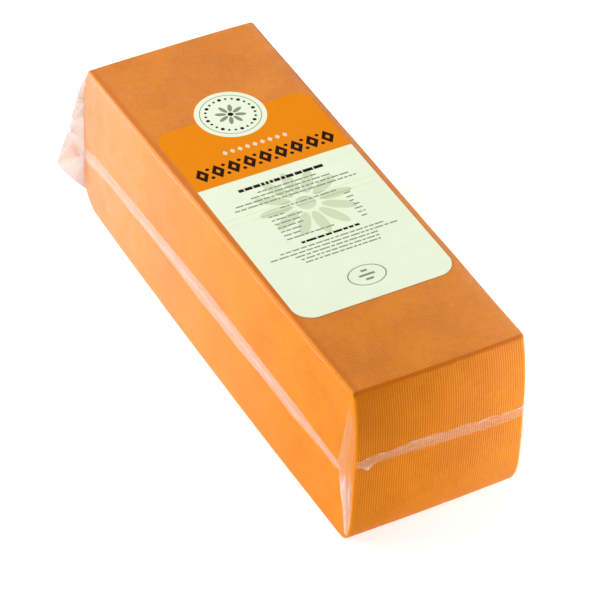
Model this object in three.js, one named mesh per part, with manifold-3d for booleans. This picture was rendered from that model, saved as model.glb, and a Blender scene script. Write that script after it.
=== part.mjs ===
// A loaf-shaped block of mimolette cheese, shrink-wrapped in a clear film bag, with a die-cut label on top.
// Millimetres, +Z up. The origin is the centre of the flat underside, +X runs along the loaf to its front end.
import * as THREE from "three";
import { mergeVertices } from "three/addons/utils/BufferGeometryUtils.js";
import Module from "manifold-3d";

// The loaf, measured corner to corner at its top edges
const LENGTH = 294;
const WIDTH = 100;
const HEIGHT = 101;
const EDGE_RADIUS = 1.6;

// How far the pressed cheese stands proud of a true box
const END_SWELL = 6.5; // the ends, halfway up
const END_CROWN = 0.7; // the ends, across their width
const REAR_SLUMP = 3.5; // the rear end, more and more towards its bottom
const SIDE_SLUMP = 1.5; // the long sides, low down at the rear end
const FRONT_TOP_POWER = 2.7; // how sharply the front end's swell falls off towards its top edge
const REAR_TOP_POWER = 4; // and the rear end's
const BOTTOM_POWER = 6; // and both ends' towards their bottom edges
const END_LIFT = 0.8; // the ends' bottom edges stand off the ground by this much more than their rounding
const SIDE_SWELL = 1.4; // the long sides, halfway up and halfway along
const SIDE_SAG = 1.5; // the long sides, at the bottom and halfway along
const LEFT_LEAN = 2; // the left side's top edge, out at the rear and in at the front

// The film bag: its weld runs round the loaf halfway up, and its spare film stands or lies at the upright edges
const FILM_GAP = 0.3; // clear of the cheese
const FILM_THICK = 0.6;
const FLAP_LIFT = 0.25; // ears and folds lie this much further out than the weld, so that it stands clear of them
const WELD_WIDTH = 10;
const WELD_FRONT_HEIGHT = 56.5; // the weld's middle on the front end
const WELD_FRONT_TILT = 2; // higher on its left by this much, and lower on its right
const WELD_REAR_HEIGHT = 39; // on the rear end
const WELD_SIDE_HEIGHT = 44; // and on the long sides at their ends
const WELD_SIDE_RISE = 3.7; // halfway along them it lies this much higher
const WELD_TURN = 16; // it changes height in the last stretch before an upright edge
const EAR_REACH = 17.5; // the ears at the rear stand out sideways by this much
const EAR_TOP = 97;
const EAR_TIP_HEIGHT = 35;
const EAR_BOTTOM = 9;
const EAR_HOLD = 9; // the ear's film lies on the rear end this far before it leaves the edge
const EAR_WAVE = 0.9;
const EAR_FAN = 1.35; // how hollow the ear's upper edge is, and the fold's
const FOLD_FAN = 0.75;
const FOLD_REACH = 12; // the front ears are folded flat on the long sides
const FOLD_TOP = 95;
const FOLD_MIDDLE = 50;
const FOLD_BOTTOM = 6;

// The label: a rounded sheet with a round seal across its rear edge
const LABEL_REAR = -78;
const LABEL_FRONT = 89.5;
const LABEL_HALF_WIDTH = 46;
const LABEL_REAR_RADIUS = 8.5;
const LABEL_FRONT_RADIUS = 11;
const LABEL_THICK = 0.4;
const SEAL_CENTRE = -77;
const SEAL_RADIUS = 20;

// How finely the curved stretches are split
const LENGTH_STEPS = 30;
const WIDTH_STEPS = 12;
const HEIGHT_STEPS = 12;
const EDGE_STEPS = 3;
const CORNER_STEPS = 6;
const FLAP_ROWS = 28;
const FLAP_COLUMNS = 6;

const HALF = new THREE.Vector3(LENGTH / 2, WIDTH / 2, HEIGHT / 2);

const cheeseOrange = new THREE.MeshStandardMaterial({ color: 0xe98f3e, roughness: 0.5, metalness: 0 });
const clearFilm = new THREE.MeshStandardMaterial({
  color: 0xf3e2d8,
  roughness: 0.15,
  metalness: 0,
  transparent: true,
  opacity: 0.5,
  side: THREE.DoubleSide,
});
const labelPaper = new THREE.MeshStandardMaterial({ color: 0xedf6db, roughness: 0.55, metalness: 0 });

// Moves a point of the true box to where the swollen loaf has it. The top stays flat, and so does the underside
// but for its two ends.
function settle(point) {
  const along = THREE.MathUtils.clamp(point.x / HALF.x, -1, 1);
  const across = THREE.MathUtils.clamp(point.y / HALF.y, -1, 1);
  const up = THREE.MathUtils.clamp(point.z / HALF.z - 1, -1, 1);
  const low = (1 - up) / 2;
  const rear = Math.max(0, -along) ** 3;
  const topPower = THREE.MathUtils.lerp(REAR_TOP_POWER, FRONT_TOP_POWER, (along + 1) / 2);
  const full = 1 - Math.abs(up) ** (up > 0 ? topPower : BOTTOM_POWER);
  const end = (END_SWELL + REAR_SLUMP * rear * low) * full + END_CROWN * (1 - across ** 2);
  const side = (SIDE_SWELL * (1 - up ** 2) + SIDE_SAG * low) * (1 - along ** 2) + SIDE_SLUMP * rear * low * full;
  const lean = (LEFT_LEAN * along * (1 + up) * (1 - across)) / 4;
  const lift = END_LIFT * THREE.MathUtils.smoothstep(Math.abs(along), 0.95, 1) * low ** 8;
  return new THREE.Vector3(point.x + along ** 3 * end, point.y + across * side + lean, point.z + lift);
}

// Grid stations along one side of a rounded box. Those of the rounded edges are evenly spaced in angle.
function stations(half, plainSteps) {
  const inner = half - EDGE_RADIUS;
  const edge = [];
  for (let i = 1; i <= EDGE_STEPS; i++)
    edge.push(inner + EDGE_RADIUS * Math.tan((Math.PI / 4) * (i / EDGE_STEPS)));
  const plain = [];
  for (let i = 0; i <= plainSteps; i++) plain.push(inner * ((2 * i) / plainSteps - 1));
  return [...edge.map((x) => -x).reverse(), ...plain, ...edge];
}

// The cheese: a finely split box whose edges are rounded and whose faces are then swollen
function loafGeometry() {
  const grids = [
    stations(HALF.x, LENGTH_STEPS),
    stations(HALF.y, WIDTH_STEPS),
    stations(HALF.z, HEIGHT_STEPS),
  ];
  const steps = grids.map((grid) => grid.length - 1);
  const box = new THREE.BoxGeometry(2, 2, 2, ...steps);
  const position = box.getAttribute("position");
  const core = HALF.clone().subScalar(EDGE_RADIUS);
  for (let i = 0; i < position.count; i++) {
    const unit = new THREE.Vector3().fromBufferAttribute(position, i);
    const index = unit.toArray().map((value, axis) => Math.round(((value + 1) / 2) * steps[axis]));
    const onBox = new THREE.Vector3(...index.map((k, axis) => grids[axis][k]));
    const nearest = onBox.clone().clamp(core.clone().negate(), core);
    const rounded = nearest.clone().add(onBox.sub(nearest).setLength(EDGE_RADIUS));
    rounded.z += HALF.z;
    position.setXYZ(i, ...settle(rounded).toArray());
  }
  return box;
}

// The plan of the box at a distance outside it, as points that run once round, each with its outward direction
function planLoop(offset) {
  const inner = new THREE.Vector2(HALF.x - EDGE_RADIUS, HALF.y - EDGE_RADIUS);
  const loop = [];
  const sides = [
    [1, -1, 0, WIDTH_STEPS],
    [1, 1, 1, LENGTH_STEPS],
    [-1, 1, 2, WIDTH_STEPS],
    [-1, -1, 3, LENGTH_STEPS],
  ];
  sides.forEach(([x, y, quarter, steps], k) => {
    const centre = new THREE.Vector2(x * inner.x, y * inner.y);
    const [nextX, nextY] = sides[(k + 1) % sides.length];
    const next = new THREE.Vector2(nextX * inner.x, nextY * inner.y);
    for (let i = 0; i <= CORNER_STEPS; i++) {
      const angle = (Math.PI / 2) * (quarter - 1 + i / CORNER_STEPS);
      const outward = new THREE.Vector2(Math.cos(angle), Math.sin(angle));
      loop.push({ at: centre.clone().addScaledVector(outward, EDGE_RADIUS + offset), outward });
    }
    const { outward } = loop[loop.length - 1];
    for (let i = 1; i < steps; i++)
      loop.push({
        at: centre.clone().lerp(next, i / steps).addScaledVector(outward, EDGE_RADIUS + offset),
        outward,
      });
  });
  return loop;
}

// A closed surface from rings of points, each ring with the same number of points. The last ring meets the first
// when it is a closed band, and the two end rings are filled when it isn't.
function skin(rings, closed) {
  const count = rings[0].length;
  const triangles = [];
  const last = closed ? rings.length : rings.length - 1;
  for (let i = 0; i < last; i++) {
    const a = i * count;
    const b = ((i + 1) % rings.length) * count;
    for (let j = 0; j < count; j++) {
      const k = (j + 1) % count;
      triangles.push(a + j, b + j, b + k, a + j, b + k, a + k);
    }
  }
  if (!closed) {
    const end = (rings.length - 1) * count;
    for (let j = 1; j < count - 1; j++)
      triangles.push(0, j, j + 1, end, end + j + 1, end + j);
  }
  const points = rings.flat().flatMap((point) => point.toArray());
  return new THREE.BufferGeometry()
    .setAttribute("position", new THREE.Float32BufferAttribute(points, 3))
    .setIndex(triangles);
}

// The height of the weld's middle at a place of the plan
function weldHeight(place) {
  const onSide = WELD_SIDE_HEIGHT + WELD_SIDE_RISE * (1 - (place.x / HALF.x) ** 2);
  const onFront = WELD_FRONT_HEIGHT - (WELD_FRONT_TILT * place.y) / HALF.y;
  const onEnd = place.x > 0 ? onFront : WELD_REAR_HEIGHT;
  const turn = THREE.MathUtils.smoothstep(Math.abs(place.x), HALF.x - WELD_TURN, HALF.x - EDGE_RADIUS);
  return THREE.MathUtils.lerp(onSide, onEnd, turn);
}

// The weld: a flat strip that runs once round the loaf
function weldGeometry() {
  const near = planLoop(FILM_GAP);
  const far = planLoop(FILM_GAP + FILM_THICK);
  const rings = near.map(({ at }, i) => {
    const middle = weldHeight(at);
    const corner = (plan, side) =>
      settle(new THREE.Vector3(plan.x, plan.y, middle + (side * WELD_WIDTH) / 2));
    return [corner(at, -1), corner(far[i].at, -1), corner(far[i].at, 1), corner(at, 1)];
  });
  return skin(rings, true);
}

// A thin flap from a function that gives its middle surface: rows from its bottom to its top, each from its root to
// its free edge, with the direction that its thickness takes
function flapGeometry(middle) {
  const rings = [];
  for (let row = 0; row <= FLAP_ROWS; row++) {
    const under = [];
    const over = [];
    for (let column = 0; column <= FLAP_COLUMNS; column++) {
      const { at, across } = middle(row / FLAP_ROWS, column / FLAP_COLUMNS);
      under.push(at.clone().addScaledVector(across, -FILM_THICK / 2));
      over.unshift(at.clone().addScaledVector(across, FILM_THICK / 2));
    }
    rings.push([...under, ...over]);
  }
  return skin(rings, false);
}

// How far an ear stands out at a height: a fan that is widest at its tip
function fan(height, bottom, tip, top, reach, power) {
  if (height < tip) return (reach * Math.max(0, height - bottom)) / (tip - bottom);
  return reach * (Math.max(0, top - height) / (top - tip)) ** power;
}

// A rear ear: the film of the rear end runs on past the upright edge, crumpled
function earGeometry(side) {
  const rootY = HALF.y - EAR_HOLD;
  return flapGeometry((rise, run) => {
    const height = THREE.MathUtils.lerp(EAR_BOTTOM, EAR_TOP, rise);
    const notch = 0.8 * Math.sin(height * 0.62) * Math.sin(Math.PI * rise);
    const reach = 0.4 + fan(height, EAR_BOTTOM, EAR_TIP_HEIGHT, EAR_TOP, EAR_REACH + notch, EAR_FAN);
    const out = run * (EAR_HOLD + reach);
    const wave = EAR_WAVE * Math.sin(height * 0.33 + out * 0.25) * Math.max(0, out - EAR_HOLD) * 0.12;
    const offset = FILM_GAP + FILM_THICK / 2 + FLAP_LIFT;
    const root = settle(new THREE.Vector3(-HALF.x - offset, side * Math.min(rootY + out, HALF.y), height));
    root.y = side * (rootY + out);
    root.x -= wave;
    return { at: root, across: new THREE.Vector3(side, 0, 0) };
  });
}

// A front ear, folded back flat on a long side from the upright front edge
function foldGeometry(side) {
  return flapGeometry((rise, run) => {
    const height = THREE.MathUtils.lerp(FOLD_BOTTOM, FOLD_TOP, rise);
    const reach = 0.6 + fan(height, FOLD_BOTTOM, FOLD_MIDDLE, FOLD_TOP, FOLD_REACH, FOLD_FAN);
    const offset = FILM_GAP + FILM_THICK / 2 + FLAP_LIFT;
    const at = new THREE.Vector3(HALF.x - EDGE_RADIUS - run * reach, side * (HALF.y + offset), height);
    return { at: settle(at), across: new THREE.Vector3(0, 1, 0) };
  });
}

// A solid of the cutting library from a closed geometry, and back again
function toSolid(wasm, geometry) {
  const bare = new THREE.BufferGeometry()
    .setAttribute("position", geometry.getAttribute("position"))
    .setIndex(geometry.index);
  const merged = mergeVertices(bare, 1e-4);
  const solid = new wasm.Manifold(
    new wasm.Mesh({
      numProp: 3,
      vertProperties: merged.getAttribute("position").array,
      triVerts: new Uint32Array(merged.index.array),
    }),
  );
  return solid;
}

function toGeometry(solid) {
  const mesh = solid.getMesh();
  const geometry = new THREE.BufferGeometry()
    .setAttribute("position", new THREE.Float32BufferAttribute(mesh.vertProperties, 3))
    .setIndex(new THREE.Uint32BufferAttribute(mesh.triVerts, 1));
  geometry.computeVertexNormals();
  return geometry;
}

// The bag's weld, ears and folds are one piece of film
function bagGeometry(wasm) {
  let bag = toSolid(wasm, weldGeometry());
  for (const side of [-1, 1])
    for (const flap of [earGeometry(side), foldGeometry(side)]) bag = bag.add(toSolid(wasm, flap));
  return toGeometry(bag);
}

// The label's outline: a rectangle whose corners are rounded, joined with the round seal at its rear edge
function labelShape() {
  const shape = new THREE.Shape();
  const y = LABEL_HALF_WIDTH;
  const seal = Math.acos((LABEL_REAR - SEAL_CENTRE) / SEAL_RADIUS);
  const sealY = SEAL_RADIUS * Math.sin(seal);
  shape.moveTo(LABEL_REAR, -sealY);
  shape.lineTo(LABEL_REAR, -y + LABEL_REAR_RADIUS);
  shape.absarc(LABEL_REAR + LABEL_REAR_RADIUS, -y + LABEL_REAR_RADIUS, LABEL_REAR_RADIUS, Math.PI, 1.5 * Math.PI);
  shape.lineTo(LABEL_FRONT - LABEL_FRONT_RADIUS, -y);
  shape.absarc(LABEL_FRONT - LABEL_FRONT_RADIUS, -y + LABEL_FRONT_RADIUS, LABEL_FRONT_RADIUS, 1.5 * Math.PI, 2 * Math.PI);
  shape.lineTo(LABEL_FRONT, y - LABEL_FRONT_RADIUS);
  shape.absarc(LABEL_FRONT - LABEL_FRONT_RADIUS, y - LABEL_FRONT_RADIUS, LABEL_FRONT_RADIUS, 0, Math.PI / 2);
  shape.lineTo(LABEL_REAR + LABEL_REAR_RADIUS, y);
  shape.absarc(LABEL_REAR + LABEL_REAR_RADIUS, y - LABEL_REAR_RADIUS, LABEL_REAR_RADIUS, Math.PI / 2, Math.PI);
  shape.lineTo(LABEL_REAR, sealY);
  shape.absarc(SEAL_CENTRE, 0, SEAL_RADIUS, seal, 2 * Math.PI - seal);
  return shape;
}

function labelGeometry() {
  return new THREE.ExtrudeGeometry(labelShape(), { depth: LABEL_THICK, bevelEnabled: false, curveSegments: 14 });
}

function named(name, geometry, material) {
  const mesh = new THREE.Mesh(geometry, material);
  mesh.name = name;
  return mesh;
}

const wasm = await Module();
wasm.setup();

const wrappedCheese = new THREE.Group();
wrappedCheese.add(named("cheese_block", loafGeometry(), cheeseOrange));
wrappedCheese.add(named("film_bag", bagGeometry(wasm), clearFilm));

const label = named("label", labelGeometry(), labelPaper);
label.position.z = HEIGHT + FILM_GAP;
wrappedCheese.add(label);

export default wrappedCheese;
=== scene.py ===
"""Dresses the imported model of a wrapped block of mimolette: cheese, clear film, printed label and studio."""

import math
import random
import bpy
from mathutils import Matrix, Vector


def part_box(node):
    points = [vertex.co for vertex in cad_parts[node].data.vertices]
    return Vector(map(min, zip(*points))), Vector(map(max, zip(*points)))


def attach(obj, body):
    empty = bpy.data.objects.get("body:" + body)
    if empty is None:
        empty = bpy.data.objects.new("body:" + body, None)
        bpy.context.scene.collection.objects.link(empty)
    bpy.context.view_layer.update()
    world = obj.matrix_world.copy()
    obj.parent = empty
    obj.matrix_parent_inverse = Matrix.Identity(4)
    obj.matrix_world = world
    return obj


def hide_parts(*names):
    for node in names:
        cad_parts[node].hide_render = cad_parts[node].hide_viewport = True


bl_info = {
    "name": "Wrapped cheese block",
    "version": (1, 0, 0),
    "blender": (4, 5, 0),
    "location": "View3D > Sidebar > Cheese",
    "description": "Makes a loaf of mimolette in its clear shrink film, with a label, on a pale studio floor",
    "category": "Add Mesh",
}

import bmesh
import bpy
from bpy.props import FloatProperty, FloatVectorProperty, IntProperty, PointerProperty
from mathutils import Matrix, Vector, noise

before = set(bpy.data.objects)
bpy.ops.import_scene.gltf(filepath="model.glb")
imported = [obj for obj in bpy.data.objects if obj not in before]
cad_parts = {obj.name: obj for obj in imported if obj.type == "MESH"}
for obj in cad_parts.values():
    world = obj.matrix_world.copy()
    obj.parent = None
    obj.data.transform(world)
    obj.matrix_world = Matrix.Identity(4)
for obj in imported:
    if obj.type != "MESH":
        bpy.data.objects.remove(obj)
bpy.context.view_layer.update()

MM = 0.001
BODY = "root"
LEFT = -1
RIGHT = 1


# Settings that a user would change


def length(name, description, millimetres):
    """A length in the panel, from its size in millimetres."""
    return FloatProperty(
        name=name, description=description, default=millimetres * MM, unit="LENGTH", precision=5
    )


def angle(name, description, degrees):
    """An angle in the panel, from its size in degrees."""
    return FloatProperty(name=name, description=description, default=math.radians(degrees), unit="ROTATION")


def colour(name, description, red, green, blue):
    """A colour in the panel, as linear light."""
    return FloatVectorProperty(
        name=name, description=description, default=(red, green, blue), subtype="COLOR", size=3, min=0, max=1
    )


def power(name, description, value):
    """An exponent in the panel."""
    return FloatProperty(name=name, description=description, default=value, min=1, max=12)


def watts(name, description, value):
    """The power of a light in the panel."""
    return FloatProperty(name=name, description=description, default=value, min=0)


def amount(name, description, value, top=1.0):
    """A plain number in the panel."""
    return FloatProperty(name=name, description=description, default=value, min=0, max=top)


class LoafSizes(bpy.types.PropertyGroup):
    """The pressed cheese, measured between its edges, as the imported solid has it."""

    length: length("Length", "Between the top edges of the two ends", 294)
    width: length("Width", "Between the long sides", 100)
    height: length("Height", "From the underside to the top", 101)
    edge: length("Edge radius", "Rounding of every edge", 1.6)
    end_swell: length("End swell", "How far the ends stand out halfway up", 6.5)
    end_crown: length("End crown", "How far the ends stand out halfway across", 0.7)
    rear_slump: length("Rear slump", "How much more the rear end stands out towards its bottom", 3.5)
    side_slump: length("Side slump", "How far the long sides stand out low down at the rear end", 1.5)
    front_top_power: power("Front squareness", "How sharply the front end turns in at its top edge", 2.7)
    rear_top_power: power("Rear squareness", "How sharply the rear end turns in at its top edge", 4)
    bottom_power: power("Bottom squareness", "How sharply both ends turn in at their bottom edges", 6)
    end_lift: length("End lift", "How far the ends' bottom edges stand off the ground", 0.8)
    side_swell: length("Side swell", "How far the long sides stand out halfway up", 1.4)
    side_sag: length("Side sag", "How far the long sides stand out at the bottom", 1.5)
    left_lean: length("Left lean", "The left top edge, out at the rear and in at the front", 2.0)
    ridge_pitch: length("Ridge pitch", "From one ridge that the mould cloth pressed to the next", 1.37)
    ridge_height: length("Ridge height", "From a ridge's middle height to its crest", 0.075)
    stitch_pitch: length("Stitch pitch", "From one thread that crosses the ridges to the next", 1.4)
    unevenness: length("Unevenness", "Slow swells and dents in the ends and sides", 0.35)


class FilmSizes(bpy.types.PropertyGroup):
    """The clear bag that is shrunk on to the cheese."""

    gap: length("Gap", "From the cheese to the clinging film", 0.16)
    sheet: length("Sheet", "Thickness of the loose film", 0.12)
    weld_width: length("Weld width", "Width of the welded strip", 9.5)
    weld_side: length("Weld on the sides", "Height of its middle at the ends of the long sides", 44.7)
    weld_rise: length("Weld rise", "How much higher it lies halfway along them", 3.5)
    weld_dip: length("Weld dip", "How much lower it lies at the rear edges", 4.8)
    weld_dip_length: length("Dip length", "How soon it rises again from there", 50)
    weld_front: length("Weld on the front", "Height of its middle on the left of the front end", 58)
    weld_tilt: length("Weld tilt", "How much lower it lies at the right of the front end", 3.7)
    weld_rear: length("Weld on the rear", "Height of its middle on the rear end", 39)
    weld_turn: length("Weld turn", "Stretch before an upright edge in which it changes height", 16)
    ear_reach: length("Ear reach", "How far the rear ears stand out sideways", 17.2)
    ear_top: length("Ear top", "Height where a rear ear starts", 97)
    ear_tip: length("Ear tip", "Height of its tip", 35)
    ear_bottom: length("Ear bottom", "Height where it ends", 10)
    ear_hold: length("Ear hold", "How far the ear's film lies on the rear end", 9)
    fold_reach: length("Fold reach", "How far the front ears reach back along the sides", 12)
    fold_top: length("Fold top", "Height where a front ear starts", 95)
    fold_middle: length("Fold middle", "Height where it is widest", 50)
    fold_bottom: length("Fold bottom", "Height where it ends", 6)


class LabelSizes(bpy.types.PropertyGroup):
    """The label and the places of what is printed on it."""

    rear: length("Rear edge", "Place of the label's rear edge along the loaf", -78)
    front: length("Front edge", "Place of its front edge", 89.5)
    half_width: length("Half width", "From its middle line to its long edges", 46)
    rear_radius: length("Rear corners", "Rounding of the rear corners", 8.5)
    front_radius: length("Front corners", "Rounding of the front corners", 11)
    band_end: length("Band end", "Where the orange band gives way to the pale field", -25.5)
    seal_place: length("Seal place", "Middle of the round seal along the loaf", -77)
    seal_radius: length("Seal radius", "Size of the round seal", 20)
    thickness: length("Thickness", "Of the label sheet", 0.28)
    sink: length("Sink", "How far the label is drawn down on to the clinging film", 0.18)


class Finishes(bpy.types.PropertyGroup):
    """Colours of the cheese, the film and the print."""

    cheese: colour("Cheese", "Crests of the pressed cheese", 0.89, 0.288, 0.014)
    # Painted shade: this colour darkens the hollows between the ridges and threads, and carries the painted
    # light and shade over the faces. The patches and pits that it also darkens are the cheese's own uneven
    # tone.
    cheese_shade_and_patches: colour("Deep cheese", "Hollows between the ridges, and damper patches", 0.56, 0.150, 0.0025)
    # Painted shade along the top edges, where the cheese is smooth.
    cheese_edge_shade: colour("Edges", "Smooth damp edges, where there are no ridges", 0.64, 0.148, 0.001)
    # Painted highlight down the upright edges.
    cheese_edge_highlight: colour("Upright edges", "Bright lines down the upright edges", 0.95, 0.285, 0.0015)
    film: colour("Film", "Cloudy film", 0.93, 0.89, 0.86)
    # Painted light: the colour of the cheese's light that the loose film takes on and shines with.
    film_bounce_light: colour("Film blush", "Film that takes colour from the cheese", 1.0, 0.70, 0.52)
    label_band: colour("Label band", "The label's orange band", 0.90, 0.268, 0.004)
    label_field: colour("Label field", "The label's pale field", 0.90, 0.985, 0.75)
    ink_dark: colour("Dark ink", "The frieze and the bold lines", 0.022, 0.008, 0.004)
    ink_grey: colour("Grey ink", "The small lines", 0.28, 0.31, 0.23)
    ink_pale: colour("Pale ink", "The small row on the band", 0.90, 0.78, 0.58)
    ink_faint: colour("Faint ink", "The large flower behind the lines", 0.68, 0.79, 0.53)
    floor: colour("Floor", "The studio floor", 0.60, 0.60, 0.60)


class StudioSettings(bpy.types.PropertyGroup):
    """The camera, the lights and the floor."""

    azimuth: angle("Azimuth", "Turn of the camera from the front end towards the left side", 29.409)
    elevation: angle("Elevation", "The camera above the horizon", 41.116)
    roll: angle("Roll", "Tilt of the camera about its own axis", -1.768)
    distance: length("Distance", "From the camera to the point that it looks at", 1879.265)
    look_x: length("Look at X", "The point that the camera looks at, along the loaf", -27.213)
    look_y: length("Look at Y", "The point that the camera looks at, across the loaf", 18.489)
    focal: FloatProperty(name="Focal length", description="In millimetres on a 36 mm sensor", default=204.54)
    floor_size: length("Floor size", "From the floor's middle to its edge", 4000)
    key: watts("Key light", "Watts of the large light on the left", 31)
    fill: watts("Fill light", "Watts of the small light in front on the right", 0.77)
    overhead: watts("Overhead light", "Watts of the light above the rear end", 1.5)
    sky: amount("Sky", "Strength of the even light from all round", 0.33, 5)
    glow: amount("Floor glow", "How much the pale floor shines by itself", 0.62, 5)


class CheeseSettings(bpy.types.PropertyGroup):
    """All the settings of the add-on."""

    loaf: PointerProperty(type=LoafSizes)
    film: PointerProperty(type=FilmSizes)
    label: PointerProperty(type=LabelSizes)
    finish: PointerProperty(type=Finishes)
    studio: PointerProperty(type=StudioSettings)
    seed: IntProperty(name="Seed", description="Start of every random draw", default=7)


def settings():
    """The scene's settings."""
    return bpy.context.scene.cheese_settings


# The loaf's form


def clamp(value, low=-1.0, high=1.0):
    """A value kept between two others."""
    return min(high, max(low, value))


def smooth(value, low, high):
    """An even rise from 0 at low to 1 at high."""
    t = clamp((value - low) / (high - low), 0.0, 1.0)
    return t * t * (3 - 2 * t)


def hump(value, middle, spread):
    """A soft hump of height 1 round the middle."""
    return math.exp(-(((value - middle) / spread) ** 2))


def rough(point, scale, seed=0.0):
    """A smooth random value from -1 to 1 that changes over about the given length."""
    return noise.noise(Vector(point) / scale + Vector((seed, seed * 1.7, -seed)))


class Loaf:
    """The block's form: a rounded box whose faces are swollen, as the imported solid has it."""

    def __init__(self, sizes):
        self.half = Vector((sizes.length / 2, sizes.width / 2, sizes.height / 2))
        self.edge = sizes.edge
        self.core = self.half - Vector((sizes.edge,) * 3)
        self.sizes = sizes

    def settle(self, point):
        """Moves a point of the true box to where the swollen loaf has it."""
        sizes = self.sizes
        along = clamp(point.x / self.half.x)
        across = clamp(point.y / self.half.y)
        up = clamp(point.z / self.half.z - 1)
        low = (1 - up) / 2
        rear = max(0.0, -along) ** 3
        top_power = sizes.rear_top_power + (sizes.front_top_power - sizes.rear_top_power) * (along + 1) / 2
        full = 1 - abs(up) ** (top_power if up > 0 else sizes.bottom_power)
        end = (sizes.end_swell + sizes.rear_slump * rear * low) * full + sizes.end_crown * (1 - across**2)
        side = (sizes.side_swell * (1 - up**2) + sizes.side_sag * low) * (1 - along**2)
        side += sizes.side_slump * rear * low * full
        lean = sizes.left_lean * along * (1 + up) * (1 - across) / 4
        lift = sizes.end_lift * smooth(abs(along), 0.95, 1) * low**8
        return Vector((point.x + along**3 * end, point.y + across * side + lean, point.z + lift))

    def rounded(self, place):
        """The point of the rounded box for a point of the sharp one, and its outward direction."""
        centred = place - Vector((0, 0, self.half.z))
        nearest = Vector([clamp(c, -k, k) for c, k in zip(centred, self.core)])
        outward = (centred - nearest).normalized()
        return nearest + outward * self.edge + Vector((0, 0, self.half.z)), outward

    def swell(self, point, outward):
        """Slow unevenness of the ends and sides. The top and the underside stay nearly flat."""
        free = self.sizes.unevenness * (1 - 0.85 * abs(outward.z))
        return free * (0.7 * rough(point, 34 * MM, 2.1) + 0.3 * rough(point, 13 * MM, 5.3))

    def ridge(self, point, outward):
        """Height of the pressed ridges, from -1 to 1. They run along the loaf and up its ends."""
        pitch = self.sizes.ridge_pitch
        wander = 0.3 * pitch * rough(point, 21 * MM, 9.4)
        strength = (1 - outward.y**2) ** 2 * (0.85 + 0.4 * rough(point, 9 * MM, 3.3))
        return strength * math.cos(2 * math.pi * (point.y + wander) / pitch)

    def run(self, point, outward):
        """How far a point lies along its ridge, over the top and down the ends."""
        drop = 2 * self.half.z - point.z
        return point.x + math.copysign(outward.x**2 * drop, point.x)


# How finely the cheese is split
RIDGE_SPLITS = 4
EDGE_SPLITS = 3
LENGTH_SPLITS = 74
HEIGHT_SPLITS = 40
FILM_SPLITS = (96, 34, 34)


def even_stations(half, edge, splits):
    """Places along a side of the sharp box: even over its plain stretch, and in angle over its edges."""
    inner = half - edge
    rim = [inner + edge * math.tan(math.pi / 4 * k / EDGE_SPLITS) for k in range(1, EDGE_SPLITS + 1)]
    plain = [inner * (2 * k / splits - 1) for k in range(splits + 1)]
    return [-place for place in reversed(rim)] + plain + rim


def crowded_stations(half, edge, splits):
    """As even_stations, but closer together towards the edges."""
    inner = half - edge
    stations = even_stations(half, edge, splits)
    return [inner * math.sin(math.pi / 2 * s / inner) if abs(s) <= inner else s for s in stations]


def grid_box(bm, stations):
    """A closed box whose six sides are grids with their lines at the given places."""
    splits = [len(line) - 1 for line in stations]
    for axis in range(3):
        for sign in (-1, 1):
            second, third = (axis + 1) % 3, (axis + 2) % 3
            columns = [Vector(), Vector(), Vector()]
            columns[0][second] = 1
            columns[1][third] = sign
            columns[2][axis] = sign
            turn = Matrix(columns).transposed().to_4x4()
            turn.translation = columns[2]
            bmesh.ops.create_grid(
                bm, x_segments=splits[second], y_segments=splits[third], size=1, matrix=turn
            )
    bmesh.ops.remove_doubles(bm, verts=bm.verts, dist=0.2 / max(splits))
    for vert in bm.verts:
        index = [round((c + 1) / 2 * n) for c, n in zip(vert.co, splits)]
        vert.co = [line[k] for line, k in zip(stations, index)]


# Meshes, objects and shared bits


def finished_piece(bm, name, materials, replaced, smooth_faces=True):
    """Makes the mesh a piece that rides on the frame and stands for a node of it."""
    mesh = bpy.data.meshes.new(name)
    bm.to_mesh(mesh)
    bm.free()
    for face in mesh.polygons:
        face.use_smooth = smooth_faces
    for material in materials:
        mesh.materials.append(material)
    piece = bpy.data.objects.new(name, mesh)
    bpy.context.scene.collection.objects.link(piece)
    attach(piece, BODY)
    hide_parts(replaced)
    return piece


def film_piece(bm, name, material, thickness):
    """A piece of the bag's loose film: a sheet that gets its thickness, with closed edges."""
    piece = finished_piece(bm, name, [material], "film_bag")
    wall = piece.modifiers.new("sheet thickness", "SOLIDIFY")
    wall.thickness = thickness
    wall.offset = 0
    wall.use_rim = True


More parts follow.
